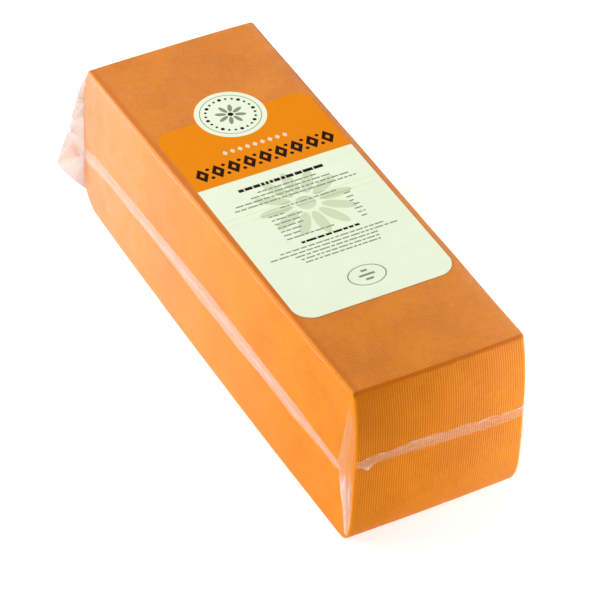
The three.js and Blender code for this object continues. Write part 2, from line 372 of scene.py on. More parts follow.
class Tree:
    """A node tree that is written from top to bottom."""

    def __init__(self, nodes, links):
        self.nodes = nodes
        self.links = links

    def feed(self, socket, value):
        """Sets a socket, or links it when the value is another socket."""
        if isinstance(value, bpy.types.NodeSocket):
            self.links.new(value, socket)
        else:
            if socket.type == "RGBA" and len(value) == 3:
                value = (*value, 1)
            socket.default_value = value

    def add(self, kind, sockets=None, **fields):
        """A node with its fields set and its inputs fed, by name or by place."""
        node = self.nodes.new(kind)
        for field, value in fields.items():
            setattr(node, field, value)
        for key, value in (sockets or {}).items():
            self.feed(node.inputs[key], value)
        return node

    def maths(self, operation, first, second=0.0, clamp_it=False):
        """One sum, as a socket."""
        node = self.add("ShaderNodeMath", {0: first, 1: second}, operation=operation, use_clamp=clamp_it)
        return node.outputs[0]

    def blend(self, factor, first, second):
        """Two colours mixed, as a socket. A mix of colours has them at inputs 6 and 7 and output 2."""
        node = self.nodes.new("ShaderNodeMix")
        node.data_type = "RGBA"
        self.feed(node.inputs["Factor"], factor)
        self.feed(node.inputs[6], first)
        self.feed(node.inputs[7], second)
        return node.outputs[2]

    def spread(self, value, low, high, to_low=0.0, to_high=1.0):
        """A value moved from one range to another, as a socket."""
        sockets = {"Value": value, "From Min": low, "From Max": high, "To Min": to_low, "To Max": to_high}
        return self.add("ShaderNodeMapRange", sockets).outputs["Result"]

    def noise(self, place, scale, detail=3.0, roughness=0.55, distortion=0.0):
        """A noise that changes over about 1/scale metres, as a socket."""
        sockets = {"Vector": place, "Scale": scale, "Detail": detail}
        sockets |= {"Roughness": roughness, "Distortion": distortion}
        return self.add("ShaderNodeTexNoise", sockets).outputs["Fac"]

    def attribute(self, name):
        """A value that the mesh keeps at its points, as a socket."""
        return self.add("ShaderNodeAttribute", attribute_name=name).outputs["Fac"]

    def place(self):
        """Object coordinates, as a socket."""
        return self.add("ShaderNodeTexCoord").outputs["Object"]


def new_group(name, inputs, outputs):
    """An empty shader group with named inputs and outputs. Each input is (name, kind, default)."""
    group = bpy.data.node_groups.new(name, "ShaderNodeTree")
    for socket, kind, default in inputs:
        made = group.interface.new_socket(name=socket, in_out="INPUT", socket_type=kind)
        if default is not None:
            made.default_value = default
    for socket, kind in outputs:
        group.interface.new_socket(name=socket, in_out="OUTPUT", socket_type=kind)
    tree = Tree(group.nodes, group.links)
    return group, tree, tree.add("NodeGroupInput"), tree.add("NodeGroupOutput")


def fine_grain_group():
    """Fine grain and pits at a given size: a height for bump, and a mask of the pits."""
    name = "fine grain"
    if name in bpy.data.node_groups:
        return bpy.data.node_groups[name]
    group, tree, source, result = new_group(
        name,
        [("Place", "NodeSocketVector", None), ("Scale", "NodeSocketFloat", 900.0)],
        [("Height", "NodeSocketFloat"), ("Pits", "NodeSocketFloat")],
    )
    place, scale = source.outputs["Place"], source.outputs["Scale"]
    grain = tree.noise(place, scale, 4, 0.6)
    cells = tree.add("ShaderNodeTexVoronoi", {"Vector": place, "Scale": tree.maths("MULTIPLY", scale, 0.35)})
    pits = tree.spread(cells.outputs["Distance"], 0.0, 0.22, 1.0, 0.0)
    tree.feed(result.inputs["Height"], tree.maths("SUBTRACT", grain, tree.maths("MULTIPLY", pits, 0.35)))
    tree.feed(result.inputs["Pits"], pits)
    return group


def patches_group():
    """Soft patches at two sizes, as a mask from 0 to 1."""
    name = "soft patches"
    if name in bpy.data.node_groups:
        return bpy.data.node_groups[name]
    group, tree, source, result = new_group(
        name,
        [
            ("Place", "NodeSocketVector", None),
            ("Broad Scale", "NodeSocketFloat", 35.0),
            ("Small Scale", "NodeSocketFloat", 240.0),
        ],
        [("Mask", "NodeSocketFloat")],
    )
    place = source.outputs["Place"]
    broad = tree.noise(place, source.outputs["Broad Scale"], 3, 0.5, 0.4)
    small = tree.noise(place, source.outputs["Small Scale"], 3, 0.6)
    both = tree.maths("ADD", tree.maths("MULTIPLY", broad, 0.65), tree.maths("MULTIPLY", small, 0.35))
    tree.feed(result.inputs["Mask"], tree.spread(both, 0.36, 0.64))
    return group


def use_group(tree, group, **sockets):
    """Places a shader group in a tree. Underscores in the names stand for spaces."""
    node = tree.add("ShaderNodeGroup", node_tree=group)
    for name, value in sockets.items():
        tree.feed(node.inputs[name.replace("_", " ")], value)
    return node


def new_material(name):
    """A material with only its Principled shader, and the tree to write in."""
    material = bpy.data.materials.new(name)
    material.use_nodes = True
    nodes = material.node_tree.nodes
    return material, Tree(nodes, material.node_tree.links), nodes["Principled BSDF"]


def bump(tree, height, strength, distance):
    """A bump normal from a height in metres, as a socket."""
    sockets = {"Strength": strength, "Distance": distance, "Height": height}
    return tree.add("ShaderNodeBump", sockets).outputs["Normal"]


def cheese_material():
    """Pressed orange cheese under tight film: ridged and mottled, with painted shade in its hollows and along
    its top edges, a painted highlight down its upright edges, and painted light and shade over its faces.
    """
    finish = settings().finish
    sizes = settings().loaf
    material, tree, shader = new_material("pressed cheese")
    place = tree.place()
    patches = use_group(tree, patches_group(), Place=place, Broad_Scale=30.0, Small_Scale=330.0)
    grain = use_group(tree, fine_grain_group(), Place=place, Scale=1500.0)

    # Threads that cross the ridges. They are set off by half a stitch from one ridge to the next.
    across = tree.add("ShaderNodeSeparateXYZ", {"Vector": place}).outputs["Y"]
    along = tree.maths("MULTIPLY", tree.attribute("run"), 2 * math.pi / sizes.stitch_pitch)
    offset = tree.maths("MULTIPLY", across, math.pi / sizes.ridge_pitch)
    thread = tree.maths("SINE", tree.maths("ADD", along, offset))
    thread = tree.maths("MULTIPLY", thread, tree.attribute("cloth"))

    # Painted shade: the colour is deeper in the hollows between the ridges and threads. The patches and pits
    # are the cheese's own uneven tone.
    woven = tree.maths("ADD", tree.attribute("ridge"), tree.maths("MULTIPLY", thread, 0.62))
    deep = tree.spread(woven, -1.5, 1.5, 1.0, -0.2)
    deep = tree.maths("ADD", deep, tree.spread(patches.outputs["Mask"], 0.0, 1.0, -0.18, 0.22))
    # Painted light and shade over the faces, as the mesh's value says
    deep = tree.maths("ADD", deep, tree.attribute("painted_shading"))
    deep = tree.maths("ADD", deep, tree.maths("MULTIPLY", grain.outputs["Pits"], 0.4), True)
    body = tree.blend(deep, tuple(finish.cheese), tuple(finish.cheese_shade_and_patches))
    # Painted shade along the top edges
    body = tree.blend(tree.attribute("edge"), body, tuple(finish.cheese_edge_shade))
    # Painted highlight down the upright edges
    body = tree.blend(tree.attribute("painted_edge_highlight"), body, tuple(finish.cheese_edge_highlight))
    tree.feed(shader.inputs["Base Color"], body)

    height = tree.maths("ADD", grain.outputs["Height"], tree.maths("MULTIPLY", thread, 0.5))
    tree.feed(shader.inputs["Normal"], bump(tree, height, 0.3, 0.08 * MM))
    shader.inputs["Roughness"].default_value = 0.5
    shader.inputs["Specular IOR Level"].default_value = 0.03
    shader.inputs["Coat Weight"].default_value = 0.05
    shader.inputs["Coat Roughness"].default_value = 0.3
    shader.inputs["Subsurface Weight"].default_value = 0.08
    shader.inputs["Subsurface Radius"].default_value = (1.0, 0.35, 0.08)
    shader.inputs["Subsurface Scale"].default_value = 1.5 * MM
    return material


# Painted light: how much more a film of full painted bounce shines by itself, though it is no lamp
BOUNCE_GLOW = 0.15


def film_material(name, crinkle_scale, crinkle, glow, painted_bounce=0.0, smears=0.0):
    """Clear film, as cloudy as the mesh's cloud value says. It shines by itself as painted light, and its
    painted bounce light tints it and adds to its glow with the cheese's colour. Without an amount of painted
    bounce, the mesh has that value too.
    """
    finish = settings().finish
    material, tree, shader = new_material(name)
    place = tree.place()
    patches = use_group(tree, patches_group(), Place=place, Broad_Scale=90.0, Small_Scale=crinkle_scale)
    grain = use_group(tree, fine_grain_group(), Place=place, Scale=crinkle_scale * 2.5)
    varied = tree.spread(patches.outputs["Mask"], 0.0, 1.0, 0.82, 1.18)
    smeared = tree.spread(tree.noise(place, 75.0, 5, 0.65), 0.58, 0.76, 0.0, smears)
    cloud = tree.maths("MULTIPLY", tree.attribute("cloud"), tree.maths("ADD", varied, smeared), True)

    # What is seen lies behind two faces of the sheet, so each takes its part of the cloudiness.
    clear = tree.maths("SQRT", tree.maths("SUBTRACT", 1.0, cloud))
    tree.feed(shader.inputs["Alpha"], tree.maths("SUBTRACT", 1.0, clear))
    tree.feed(shader.inputs["Normal"], bump(tree, grain.outputs["Height"], crinkle, 0.3 * MM))

    # An even painted bounce gives plain values. One that varies comes from the mesh.
    if painted_bounce is None:
        painted_bounce = tree.attribute("painted_bounce")
        tint = tree.blend(painted_bounce, tuple(finish.film), tuple(finish.film_bounce_light))
        glow = tree.maths("ADD", tree.maths("MULTIPLY", painted_bounce, BOUNCE_GLOW), glow)
    else:
        tint = tuple(Vector(finish.film).lerp(Vector(finish.film_bounce_light), painted_bounce))
        glow += BOUNCE_GLOW * painted_bounce
    # Painted light: the film shines by itself though it is no lamp, in a tint drawn towards the cheese's
    # colour by its painted bounce light.
    tree.feed(shader.inputs["Base Color"], tint)
    tree.feed(shader.inputs["Emission Color"], tint)
    tree.feed(shader.inputs["Emission Strength"], glow)
    shader.inputs["Roughness"].default_value = 0.3
    shader.inputs["Specular IOR Level"].default_value = 0.5
    return material


def print_material(name, ink):
    """Printed label paper: one ink, with faint paper grain."""
    material, tree, shader = new_material(name)
    place = tree.place()
    patches = use_group(tree, patches_group(), Place=place, Broad_Scale=60.0, Small_Scale=900.0)
    grain = use_group(tree, fine_grain_group(), Place=place, Scale=2200.0)
    worn = tuple(c * 0.97 for c in ink)
    tree.feed(shader.inputs["Base Color"], tree.blend(patches.outputs["Mask"], tuple(ink), worn))
    tree.feed(shader.inputs["Normal"], bump(tree, grain.outputs["Height"], 0.1, 0.05 * MM))
    shader.inputs["Roughness"].default_value = 0.5
    shader.inputs["Specular IOR Level"].default_value = 0.05
    return material


# The cheese


class CHEESE_OT_block(bpy.types.Operator):
    """Makes the pressed cheese with the ridges of its mould cloth"""

    bl_idname = "cheese.block"
    bl_label = "Cheese block"

    def execute(self, context):
        loaf = Loaf(settings().loaf)
        ridges = round(2 * loaf.core.y / loaf.sizes.ridge_pitch)
        stations = [
            even_stations(loaf.half.x, loaf.edge, LENGTH_SPLITS),
            even_stations(loaf.half.y, loaf.edge, ridges * RIDGE_SPLITS),
            crowded_stations(loaf.half.z, loaf.edge, HEIGHT_SPLITS),
        ]
        # Three of these values are painted: shade along the top edges, a highlight down the upright edges, and
        # light and shade over the faces.
        bm = loaf_shell(loaf, stations, ("ridge", "cloth", "run", "edge", "painted_edge_highlight", "painted_shading"), cheese_surface)
        finished_piece(bm, "cheese", [cheese_material()], "cheese_block")
        return {"FINISHED"}


def loaf_shell(loaf, stations, names, surface_of):
    """A closed mesh of the loaf. surface_of gives each point's lift, and its value for each of the names."""
    bm = bmesh.new()
    grid_box(bm, stations)
    layers = [bm.verts.layers.float.new(name) for name in names]
    for vert in bm.verts:
        point, outward = loaf.rounded(vert.co + Vector((0, 0, loaf.half.z)))
        lift, *values = surface_of(loaf, point, outward)
        vert.co = loaf.settle(point) + outward * (lift + loaf.swell(point, outward))
        vert.co.z = max(vert.co.z, 0)
        for layer, value in zip(layers, values):
            vert[layer] = value
    return bm


def cheese_surface(loaf, point, outward):
    """The lift by the ridges, and the ridge, cloth, run, edge, highlight and shading values for the material.
    The last three are painted: shade along the top edges, a highlight down the upright edges, and light and
    shade over the faces.
    """
    above = smooth(outward.z, -0.6, -0.1)
    ridge = loaf.ridge(point, outward) * above
    edge = edge_shade(loaf, point, outward)
    low = smooth(0.6 * loaf.half.z - point.z, -0.8 * loaf.half.z, 0.5 * loaf.half.z)
    return (
        ridge * loaf.sizes.ridge_height * (1 - edge),
        ridge * (0.75 + (0.7 - 0.45 * low) * outward.x**2),
        (1 - outward.y**2) ** 2 * above,
        loaf.run(point, outward),
        edge,
        edge_highlight_mask(loaf, point, outward),
        painted_face_shading(loaf, point, outward),
    )


def edge_shade(loaf, point, outward):
    """How much painted shade a point gets along the top edges, from 0 to 1, where it is also smooth: on the
    rounded edges that face up, in a dark line just under the front end's top edge, and in a strip on the top
    along the left edge.
    """
    top = 2 * loaf.half.z
    rounding = smooth(1 - max(abs(c) for c in outward), 0.02, 0.16)
    upward = smooth(outward.z - abs(outward.y), 0.2, 0.7)
    upright = smooth(min(abs(outward.x), abs(outward.y)), 0.1, 0.5)
    rounding *= upward * (1 - 0.6 * upright)
    below = 1.5 * MM + 0.7 * MM * rough((point.y, 0, 0), 7 * MM, 3.0)
    front = 0.9 * smooth(outward.x, 0.3, 0.8) * smooth(point.z, top - below - 0.7 * MM, top - below)
    above = smooth(outward.z, 0.8, 0.95) * hump(point.y, -loaf.half.y + 2.2 * MM, 1.8 * MM) * 0.7
    return clamp(max(rounding, front, above), 0, 1)


def painted_face_shading(loaf, point, outward):
    """Painted light and shade, as how much deeper the colour is: painted shade most at the front end's upper
    left and on the top's front left, painted light on the long sides towards the rear and on the top's front
    right.
    """
    up = smooth(point.z, 0.8 * loaf.half.z, 1.9 * loaf.half.z)
    left = smooth(-point.y, -0.3 * loaf.half.y, loaf.half.y)
    rear = (loaf.half.x - point.x) / (2 * loaf.half.x)
    front = smooth(outward.x, 0.3, 0.8) * (0.55 * up * left + 0.12 * left)
    side = 0.33 * clamp(rear, 0, 1) * smooth(abs(outward.y), 0.5, 0.9)
    top = smooth(outward.z, 0.6, 0.95) * smooth(point.x, 0.2 * loaf.half.x, 0.9 * loaf.half.x)
    return front - side - 0.14 * top * clamp(point.y / loaf.half.y)


def edge_highlight_mask(loaf, point, outward):
    """How much of the painted highlight a point gets, as part of the bright, clear line down an upright edge,
    from 0 to 1.
    """
    upright = smooth(min(abs(outward.x), abs(outward.y)), 0.1, 0.5)
    near = smooth(abs(point.y), loaf.half.y - 1.8 * MM, loaf.half.y - 1.0 * MM)
    beside = smooth(abs(outward.x), 0.5, 0.9) * near
    below_top = smooth(2 * loaf.half.z - point.z, 1.5 * MM, 4 * MM)
    return clamp(max(upright, beside) * below_top, 0, 1)


# The film


def skin_cloud(loaf, point, outward):
    """How cloudy the clinging film is: most on the long sides towards the rear, least on the front."""
    rear = (loaf.half.x - point.x) / (2 * loaf.half.x)
    side = smooth(abs(outward.y), 0.5, 0.9) * (0.01 + 0.35 * clamp(rear, 0, 1) ** 1.75)
    strip = smooth(point.y, loaf.half.y - 7 * MM, loaf.half.y - 2 * MM)
    right = smooth(point.y, -0.4 * loaf.half.y, loaf.half.y)
    far = 0.035 * smooth(rear, 0.2, 0.9) * (1 - 0.4 * right) + (0.045 - 0.02 * rear) * right
    top = smooth(outward.z, 0.6, 0.95) * (0.052 + far + 0.07 * strip)
    ends = smooth(abs(outward.x), 0.6, 0.95) * 0.05 * smooth(point.y, -0.5 * loaf.half.y, loaf.half.y)
    return 0.003 + side + top + ends


def skin_surface(loaf, point, outward):
    """The lift of the clinging film, which is none underneath, and its cloudiness."""
    under = smooth(outward.z, -0.6, -0.95)
    return settings().film.gap * (1 - under), skin_cloud(loaf, point, outward)


class CHEESE_OT_film_skin(bpy.types.Operator):
    """Makes the clear film that clings to the cheese all round"""

    bl_idname = "cheese.film_skin"
    bl_label = "Clinging film"

    def execute(self, context):
        loaf = Loaf(settings().loaf)
        stations = [even_stations(half, loaf.edge, splits) for half, splits in zip(loaf.half, FILM_SPLITS)]
        bm = loaf_shell(loaf, stations, ["cloud"], skin_surface)
        material = film_material("clinging film", crinkle_scale=160.0, crinkle=0.01, glow=0.0, smears=0.5)
        finished_piece(bm, "film_skin", [material], "film_bag")
        return {"FINISHED"}


class Path:
    """A walk once round the loaf at a distance outside it, in steps of equal length."""

    def __init__(self, loaf, offset):
        self.loaf = loaf
        self.radius = loaf.edge + offset
        self.long = 2 * loaf.core.x
        self.short = 2 * loaf.core.y
        self.turn = math.pi / 2 * self.radius
        self.total = 2 * (self.long + self.short) + 4 * self.turn

    def at(self, share):
        """The plan point and outward direction at a share of the walk, from the left rear corner on."""
        walked = (share % 1) * self.total
        heading = 0
        corner = Vector((-self.loaf.core.x, -self.loaf.core.y))
        for straight in (self.long, self.short, self.long, self.short):
            ahead = Vector((math.cos(heading), math.sin(heading)))
            outward = Vector((ahead.y, -ahead.x))
            if walked <= straight:
                return corner + ahead * walked + outward * self.radius, outward
            walked -= straight
            corner = corner + ahead * straight
            if walked <= self.turn:
                swing = heading - math.pi / 2 + walked / self.radius
                outward = Vector((math.cos(swing), math.sin(swing)))
                return corner + outward * self.radius, outward
            walked -= self.turn
            heading += math.pi / 2
        return corner + Vector((0, -self.radius)), Vector((0, -1))


def weld_height(loaf, film, place):
    """The height of the weld's middle at a place of the plan."""
    along = place.x / loaf.half.x
    dip = film.weld_dip * math.exp(-(place.x + loaf.half.x) / film.weld_dip_length)
    on_side = film.weld_side + film.weld_rise * (1 - along**2) - dip
    on_front = film.weld_front - film.weld_tilt * smooth(place.y, -25 * MM, loaf.half.y)
    on_end = on_front if place.x > 0 else film.weld_rear
    turn = smooth(abs(place.x), loaf.half.x - film.weld_turn, loaf.half.x - loaf.edge)
    return on_side + (on_end - on_side) * turn


WELD_STEPS = 640
WELD_ROWS = 16


def weld_half_width(film, plan, on_end):
    """Half the weld's width: broad halfway along the sides, and narrow on the ends and next to them."""
    change = 0.35 * (1 - on_end) * (hump(plan.x, 5 * MM, 45 * MM) - smooth(plan.x, 85 * MM, 125 * MM))
    change -= on_end * (0.1 + 0.18 * hump(plan.y, 10 * MM, 25 * MM))
    change -= on_end * (0.35 * smooth(-plan.y, 0, 45 * MM) + 0.22 * smooth(plan.y, 22 * MM, 48 * MM))
    return film.weld_width / 2 * (1 + change + 0.1 * rough((plan.x, plan.y, 0), 26 * MM, 1.0))


def weld_place(loaf, film, path, share, across):
    """A point of the weld and its cloudiness. across runs from -1 at its lower edge to 1 at its upper one."""
    plan, outward = path.at(share)
    on_end = smooth(abs(outward.x), 0.5, 0.9)

    # The upper edge is ragged on the ends. The lower edge is twisted at one place of each end.
    flat = (plan.x, plan.y, 0)
    ragged = 1.3 * MM * rough(flat, 6 * MM, 4.0) + 0.7 * MM * rough(flat, 1.6 * MM, 2.0)
    twist_place = 7 * MM - loaf.half.y
    twist = 3.2 * MM * on_end * hump(plan.y, twist_place, 2.5 * MM) * smooth(-across, 0, 1)
    height = weld_height(loaf, film, plan) + across * weld_half_width(film, plan, on_end) - twist
    height += ragged * smooth(across, 0.2, 1.0) * (0.2 + 0.8 * on_end)

    # One broad pressed line with a fine one on each side, streaks, and torn threads at the ragged edge
    line_place = -0.35 + 0.4 * smooth(plan.x, -90 * MM, 10 * MM)
    line = hump(across, line_place, 0.22) * (1 - 0.8 * on_end)
    fine_lines = 0.5 * (hump(across, line_place + 0.4, 0.08) + hump(across, line_place - 0.45, 0.08))
    streaks = smooth(rough((share * 36, across * 3.4, 0), 1.0, 5.0), 0.0, 0.5)
    torn = smooth(rough((share * 150, across * 2, 0), 1.0, 7.0), -0.1, 0.3)
    threads = on_end * smooth(across, 0.5, 0.85) * torn
    threads += on_end * hump(plan.y, twist_place, 3 * MM) * smooth(-across, 0.3, 0.8)
    lift = (0.2 * line + 0.1 * fine_lines + 0.15 * threads + 0.08 * streaks) * MM
    point = Vector((plan.x, plan.y, height))
    normal = Vector((outward.x, outward.y, 0))
    cloud = 0.3 - 0.17 * on_end + 0.2 * line + 0.08 * fine_lines + 0.3 * threads + 0.12 * streaks
    cloud *= 1 - 0.3 * (1 - on_end) * smooth(plan.x, 70 * MM, 130 * MM) - 0.12 * on_end
    return loaf.settle(point) + normal * (loaf.swell(point, normal) + lift), cloud


def weld_shows(loaf, film, path, share):
    """Whether the weld lies open at a place, and not under a front fold or a rear ear."""
    plan, outward = path.at(share)
    if plan.x > loaf.half.x - film.fold_reach:
        return outward.x > 0.9
    if plan.x < -loaf.half.x + loaf.edge:
        return abs(plan.y) < loaf.half.y - film.ear_hold
    return True


class CHEESE_OT_film_weld(bpy.types.Operator):
    """Makes the welded strip that runs round the loaf halfway up"""

    bl_idname = "cheese.film_weld"
    bl_label = "Film weld"

    def execute(self, context):
        loaf = Loaf(settings().loaf)
        film = settings().film
        path = Path(loaf, film.gap + film.sheet)

        def place_of(run, rise):
            return weld_place(loaf, film, path, run, 2 * rise - 1)

        bm = film_grid(WELD_STEPS, WELD_ROWS, place_of)
        covered = [k for k in range(WELD_STEPS) if not weld_shows(loaf, film, path, (k + 0.5) / WELD_STEPS)]
        bm.faces.ensure_lookup_table()
        faces = [bm.faces[row * WELD_STEPS + k] for row in range(WELD_ROWS) for k in covered]
        bmesh.ops.delete(bm, geom=faces, context="FACES")
        bmesh.ops.remove_doubles(bm, verts=bm.verts, dist=0.02 * MM)
        bmesh.ops.recalc_face_normals(bm, faces=bm.faces)
        # Painted light: the weld shines by itself, with some painted bounce light from the cheese.
        material = film_material("welded film", crinkle_scale=150.0, crinkle=0.04, glow=0.05, painted_bounce=0.3)
        film_piece(bm, "film_weld", material, film.sheet)
        return {"FINISHED"}


def film_grid(columns, rows, place_of, names=("cloud",)):
    """A sheet of film from a grid. place_of(run, rise) gives each point, and its value for each name."""
    bm = bmesh.new()
    bmesh.ops.create_grid(bm, x_segments=columns, y_segments=rows, size=0.5)
    layers = [bm.verts.layers.float.new(name) for name in names]
    for vert in bm.verts:
        vert.co, *values = place_of(vert.co.x + 0.5, vert.co.y + 0.5)
        for layer, value in zip(layers, values):
            vert[layer] = clamp(value, 0, 1)
    return bm


SHOULDER_HEIGHT = 82 * MM
SHOULDER_REACH = 2.5 * MM


def ear_outline(film, height, notches):
    """How far a rear ear stands out at a height: straight below its tip, hollow and scalloped above it."""
    below = (height - film.ear_bottom) / (film.ear_tip - film.ear_bottom)
    if below < 1:
        return film.ear_reach * (max(0.0, below) + 0.1 * math.sin(math.pi * clamp(below, 0, 1)))
    share = clamp((film.ear_top - height) / (film.ear_top - film.ear_tip), 0, 1)
    reach = film.ear_reach * share**1.35 + SHOULDER_REACH * hump(height, SHOULDER_HEIGHT, 12 * MM)

    # Each notch has a small lobe above it
    for notch in notches:
        reach += MM * (1.0 * hump(height, notch + 5.5 * MM, 3 * MM) - 1.3 * hump(height, notch, 1.8 * MM))
    return reach + 0.25 * MM * share * rough((height, 0, 0), 2.5 * MM, notches[0] / MM)


EAR_COLUMNS = 70
EAR_ROWS = 150
LEFT_NOTCHES = (62 * MM, 55.5 * MM)
RIGHT_NOTCHES = (71 * MM, 49 * MM)


def ear_sheet(loaf, film, side, notches, seed):
    """A rear ear: film of the rear end that runs on past the upright edge, creased towards its tip."""
    root = loaf.half.y - film.ear_hold

    def place_of(run, rise):
        height = film.ear_bottom + (film.ear_top - film.ear_bottom) * rise
        reach = ear_outline(film, height, notches)
        out = run * (film.ear_hold + reach)
        free = max(0.0, out - film.ear_hold)
        held = Vector((-loaf.half.x - film.gap - 3 * film.sheet, side * min(root + out, loaf.half.y), height))
        point = loaf.settle(held)
        point += Vector((-1, 0, 0)) * loaf.swell(held, Vector((-1, 0, 0)))

        # Creases that fan out from the upright edge at the tip's height, and crushed film above it
        spot = (free, height, seed)
        heading = math.atan2(height - film.ear_tip, free + 5 * MM)
        broad = math.sin(heading * 5 + seed)
        crease = 1 - abs(math.sin(heading * 6.5 + 1.2 * rough(spot, 9 * MM, seed)))
        upper = smooth(height, film.ear_tip + 6 * MM, film.ear_tip + 16 * MM)
        crush = rough(spot, 5 * MM, seed) + 0.4 * rough(spot, 2 * MM, seed)
        loose = smooth(free, 0, 7 * MM)
        bend = 0.5 * broad + (0.15 + 0.85 * upper) * (0.6 * crease**4 + 0.18 * crush)
        point.x += loose * bend * MM - 0.08 * free
        point.y = side * (root + out)

        # A taut band, broad at the upright edge and narrow at the tip
        spare = 1 - free / (reach + 1 * MM)
        band_middle = film.ear_tip + 9 * MM * spare
        band = smooth(1 - abs(height - band_middle) / (1.5 * MM + 10 * MM * spare), 0, 0.35)
        # Painted highlight: the creases of the upper ear are made cloudier, and so whiter.
        cloud = 0.78 + 0.07 * band + 0.12 * upper * (crease**6 - 0.5 * abs(crush))
        cloud += 0.08 * smooth(run, 0.965, 1.0)
        cloud *= 0.25 + 0.75 * smooth(out, 0.5 * film.ear_hold, film.ear_hold)
        # Painted bounce light from the cheese: most in the taut band, and some in the lower ear.
        painted_bounce = 0.28 * band + 0.1 * (1 - upper)
        return point, cloud, painted_bounce

    return film_grid(EAR_COLUMNS, EAR_ROWS, place_of, ("cloud", "painted_bounce"))


class CHEESE_OT_film_ears(bpy.types.Operator):
    """Makes the two crumpled ears that stand out at the rear edges"""

    bl_idname = "cheese.film_ears"
    bl_label = "Film ears"

    def execute(self, context):
        loaf = Loaf(settings().loaf)
        film = settings().film
        # Painted light: the ears shine by themselves, with painted bounce light from the cheese where the mesh
        # says.
        material = film_material("crumpled film", crinkle_scale=70.0, crinkle=0.05, glow=0.04, painted_bounce=None)
        ears = ((LEFT, "film_ear_left", LEFT_NOTCHES, 1.0), (RIGHT, "film_ear_right", RIGHT_NOTCHES, 2.6))
        for side, name, notches, seed in ears:
            film_piece(ear_sheet(loaf, film, side, notches, seed), name, material, film.sheet)
        return {"FINISHED"}


FOLD_COLUMNS = 36
FOLD_ROWS = 110


def fold_sheet(loaf, film, side, seed):
    """A front ear, folded back flat on a long side, with fine pleats that gather at the weld."""

    def place_of(run, rise):
        height = film.fold_bottom + (film.fold_top - film.fold_bottom) * rise
        if height < film.fold_middle:
            fan = clamp((height - film.fold_bottom) / (film.fold_middle - film.fold_bottom), 0, 1) ** 0.64
        else:
            fan = clamp((film.fold_top - height) / (film.fold_top - film.fold_middle), 0, 1) ** 0.5
        reach = 1.2 * MM + film.fold_reach * fan + 0.4 * MM * rough((height, seed, 0), 5 * MM, seed)
        point = Vector((loaf.half.x - run * reach, side * loaf.half.y, height))

        # Pleats run down the fold, and rays fan out just below its widest place
        slant = run * 4.5 + 0.7 * rough((run * 0.02, height, 0), 14 * MM, seed)
        pleats = abs(math.sin(math.pi * slant))
        heading = math.atan2(run * reach - 5 * MM, film.fold_middle - height)
        rays = abs(math.sin(4 * heading + seed)) ** 6 * hump(height, film.fold_middle - 13 * MM, 11 * MM)
        lift = film.gap + 2.5 * film.sheet + (0.15 * pleats * fan + 0.3 * rays) * MM
        outward = Vector((0, side, 0))
        settled = loaf.settle(point) + outward * (lift + loaf.swell(point, outward))
        soft = 0.08 * smooth(rough((run * 4, height / (30 * MM), 0), 1.0, seed), -0.2, 0.5)
        cloud = 0.07 + 0.12 * run + soft + 0.15 * (1 - pleats) ** 3
        cloud *= 0.5 + 1.7 * smooth(film.fold_middle - height, 0, 18 * MM)
        # The rays are creases in the sheet. They are also made cloudier, and so whiter, as a painted
        # highlight.
        return settled, (cloud + 0.3 * rays) * smooth(film.fold_top - height, 0, 14 * MM)

    return film_grid(FOLD_COLUMNS, FOLD_ROWS, place_of)


class CHEESE_OT_film_folds(bpy.types.Operator):
    """Makes the two front ears, which are folded flat on the long sides"""

    bl_idname = "cheese.film_folds"
    bl_label = "Film folds"

    def execute(self, context):
        loaf = Loaf(settings().loaf)
        film = settings().film
        # Painted light: the folds shine by themselves, with some painted bounce light from the cheese.
        material = film_material("folded film", crinkle_scale=150.0, crinkle=0.05, glow=0.03, painted_bounce=0.25)
        for side, name, seed in ((LEFT, "film_fold_left", 0.7), (RIGHT, "film_fold_right", 3.1)):
            film_piece(fold_sheet(loaf, film, side, seed), name, material, film.sheet)
        return {"FINISHED"}


PLEAT_STEPS = 240
PLEAT_ROWS = 4
PLEAT_DEPTH = 2.0 * MM
PLEAT_WIDTH = 1.4 * MM
PLEAT_HEIGHT = 0.15 * MM
PLEAT_STOP = 6 * MM


def pleat_sheet(loaf, film, side):
    """A narrow wrinkle of film that follows a long top edge a little below it, fainter towards the front. Its
    cloudier crest is a painted highlight.
    """

    def place_of(run, rise):
        along = (2 * run - 1) * (loaf.half.x - PLEAT_STOP)
        strength = 0.6 + 0.5 * rough((along, side, 0), 18 * MM, 6.0)
        wave = 0.4 * MM * rough((along, 0, side), 14 * MM, 2.0)
        height = 2 * loaf.half.z - PLEAT_DEPTH + wave + (rise - 0.5) * PLEAT_WIDTH
        point, outward = loaf.rounded(Vector((along, side * loaf.half.y, height)))
        arch = math.sin(math.pi * rise)
        lift = film.gap + film.sheet * 0.6 + PLEAT_HEIGHT * arch * strength
        settled = loaf.settle(point) + outward * (lift + loaf.swell(point, outward))
        # Painted highlight: the film is cloudier along the wrinkle's crest, and more so towards the rear.
        return settled, (0.32 - 0.12 * along / loaf.half.x) * arch * strength

    return film_grid(PLEAT_STEPS, PLEAT_ROWS, place_of)


class CHEESE_OT_film_pleat(bpy.types.Operator):
    """Makes the fine pleats that the film has along the two long top edges"""

    bl_idname = "cheese.film_pleat"
    bl_label = "Edge pleats"

    def execute(self, context):
        loaf = Loaf(settings().loaf)
        film = settings().film
        # Painted highlight: the pleated film shines by itself, with much painted bounce light from the cheese.
        material = film_material("pleated film", crinkle_scale=300.0, crinkle=0.05, glow=0.1, painted_bounce=0.6)
        for side, name in ((LEFT, "film_pleat_left"), (RIGHT, "film_pleat_right")):
            film_piece(pleat_sheet(loaf, film, side), name, material, film.sheet / 2)
        return {"FINISHED"}


# The label

BAND, FIELD, DARK, GREY, PALE, FAINT = range(6)
ARC_STEPS = 16
INK_THICK = 0.03 * MM
INK_SINK = 0.01 * MM


